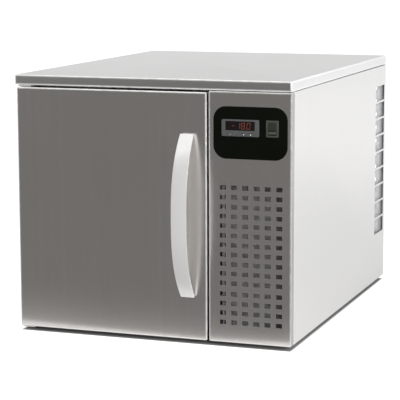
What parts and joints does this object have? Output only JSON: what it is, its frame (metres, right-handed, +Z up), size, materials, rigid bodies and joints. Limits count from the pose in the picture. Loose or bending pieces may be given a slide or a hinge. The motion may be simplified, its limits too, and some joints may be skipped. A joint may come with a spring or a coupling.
{
  "type": "countertop blast chiller",
  "caption": "Box-shaped countertop blast chiller with a hinged solid door and bow handle, a narrow service bay with controls and vents beside it, and a tray chamber with a fan coil inside.",
  "frame": {"origin": "on the counter, under the middle of the outline that runs from the door handle to the mains gland at the rear", "axes": "+Z up, +X towards the service bay (the right as seen from the front), -Y out of the front, so +Y points to the rear"},
  "size_m": [0.57, 0.8094, 0.515],
  "materials": {
    "brushed_steel": "satin",
    "lid_steel": "satin",
    "galvanised_steel": "satin",
    "liner_steel": "satin",
    "wire_steel": "gloss",
    "handle_aluminium": "satin",
    "aluminium": "satin",
    "copper": "satin",
    "foam": "matte",
    "rubber": "matte",
    "gasket_rubber": "matte",
    "black_plastic": "satin",
    "grey_plastic": "satin",
    "white_plastic": "satin",
    "key_plastic": "satin",
    "dark_window": "gloss",
    "black_enamel": "satin"
  },
  "bodies": {
    "cabinet": {"top_lid": "lid_steel", "service_panel": "brushed_steel", "right_side_panel": "brushed_steel", "left_side_panel": "brushed_steel", "back_panel": "galvanised_steel", "base_plate": "galvanised_steel", "foot_front_left": "rubber", "foot_front_right": "rubber", "foot_rear_left": "rubber", "foot_rear_right": "rubber", "front_frame": "brushed_steel", "breaker_frame": "white_plastic", "chamber_liner": "liner_steel", "cabinet_insulation": "foam", "partition_panel": "galvanised_steel", "rack_left": "wire_steel", "rack_right": "wire_steel", "evaporator_cover": "liner_steel", "evaporator_fan_guard": "wire_steel", "evaporator_fan_motor": "black_enamel", "evaporator_coil": "aluminium", "drip_tray": "liner_steel", "drain_spout": "white_plastic", "air_sensor": "wire_steel", "condenser_coil": "aluminium", "condenser_shroud": "galvanised_steel", "condenser_fan_motor": "black_enamel", "compressor": "black_enamel", "compressor_grommet_front_left": "rubber", "compressor_grommet_front_right": "rubber", "compressor_grommet_rear_left": "rubber", "compressor_grommet_rear_right": "rubber", "filter_drier": "copper", "discharge_line": "copper", "liquid_line": "copper", "capillary_line": "copper", "suction_line": "copper", "electrical_box": "white_plastic", "cord_gland": "black_plastic", "control_plate": "black_plastic", "thermostat_case": "grey_plastic", "display_window": "dark_window", "switch_housing": "grey_plastic", "hinge_bracket_upper": "brushed_steel", "hinge_bracket_lower": "brushed_steel"},
    "door": {"door_skin": "brushed_steel", "door_insulation": "foam", "door_liner": "liner_steel", "door_gasket": "gasket_rubber", "door_handle": "handle_aluminium", "hinge_bush_lower": "white_plastic", "hinge_bush_upper": "white_plastic"},
    "switch": {"switch_rocker": "black_plastic"},
    "set_key": {"key_set": "key_plastic"},
    "down_key": {"key_down": "key_plastic"},
    "up_key": {"key_up": "key_plastic"},
    "evaporator_rotor": {"evaporator_fan": "black_plastic"},
    "condenser_rotor": {"condenser_fan": "aluminium"},
    "lower_shelf": {"wire_shelf_lower": "wire_steel"},
    "upper_shelf": {"wire_shelf_upper": "wire_steel"}
  },
  "joints": [
    {"name": "door_hinge", "type": "hinge", "parent": "cabinet", "child": "door", "pos_m": [-0.269, -0.32335, 0.25], "axis": [0, 0, -1], "range_deg": [0, 110]},
    {"name": "switch_rock", "type": "hinge", "parent": "cabinet", "child": "switch", "pos_m": [0.2473, -0.34435, 0.42535], "axis": [1, 0, 0], "range_deg": [0, 14]},
    {"name": "set_key_press", "type": "slide", "parent": "cabinet", "child": "set_key", "axis": [0, 1, 0], "range_m": [0, 0.0007], "stiffness_N_per_m": 300},
    {"name": "down_key_press", "type": "slide", "parent": "cabinet", "child": "down_key", "axis": [0, 1, 0], "range_m": [0, 0.0007], "stiffness_N_per_m": 300},
    {"name": "up_key_press", "type": "slide", "parent": "cabinet", "child": "up_key", "axis": [0, 1, 0], "range_m": [0, 0.0007], "stiffness_N_per_m": 300},
    {"name": "evaporator_fan_spin", "type": "hinge", "parent": "cabinet", "child": "evaporator_rotor", "pos_m": [-0.083, 0.27, 0.2525], "axis": [0, 1, 0], "continuous": true},
    {"name": "condenser_fan_spin", "type": "hinge", "parent": "cabinet", "child": "condenser_rotor", "pos_m": [0.2005, -0.25, 0.1696], "axis": [0, 1, 0], "continuous": true},
    {"name": "lower_shelf_slide", "type": "slide", "parent": "cabinet", "child": "lower_shelf", "axis": [0, -1, 0], "range_m": [0, 0.008]},
    {"name": "upper_shelf_slide", "type": "slide", "parent": "cabinet", "child": "upper_shelf", "axis": [0, -1, 0], "range_m": [0, 0.008]}
  ]
}
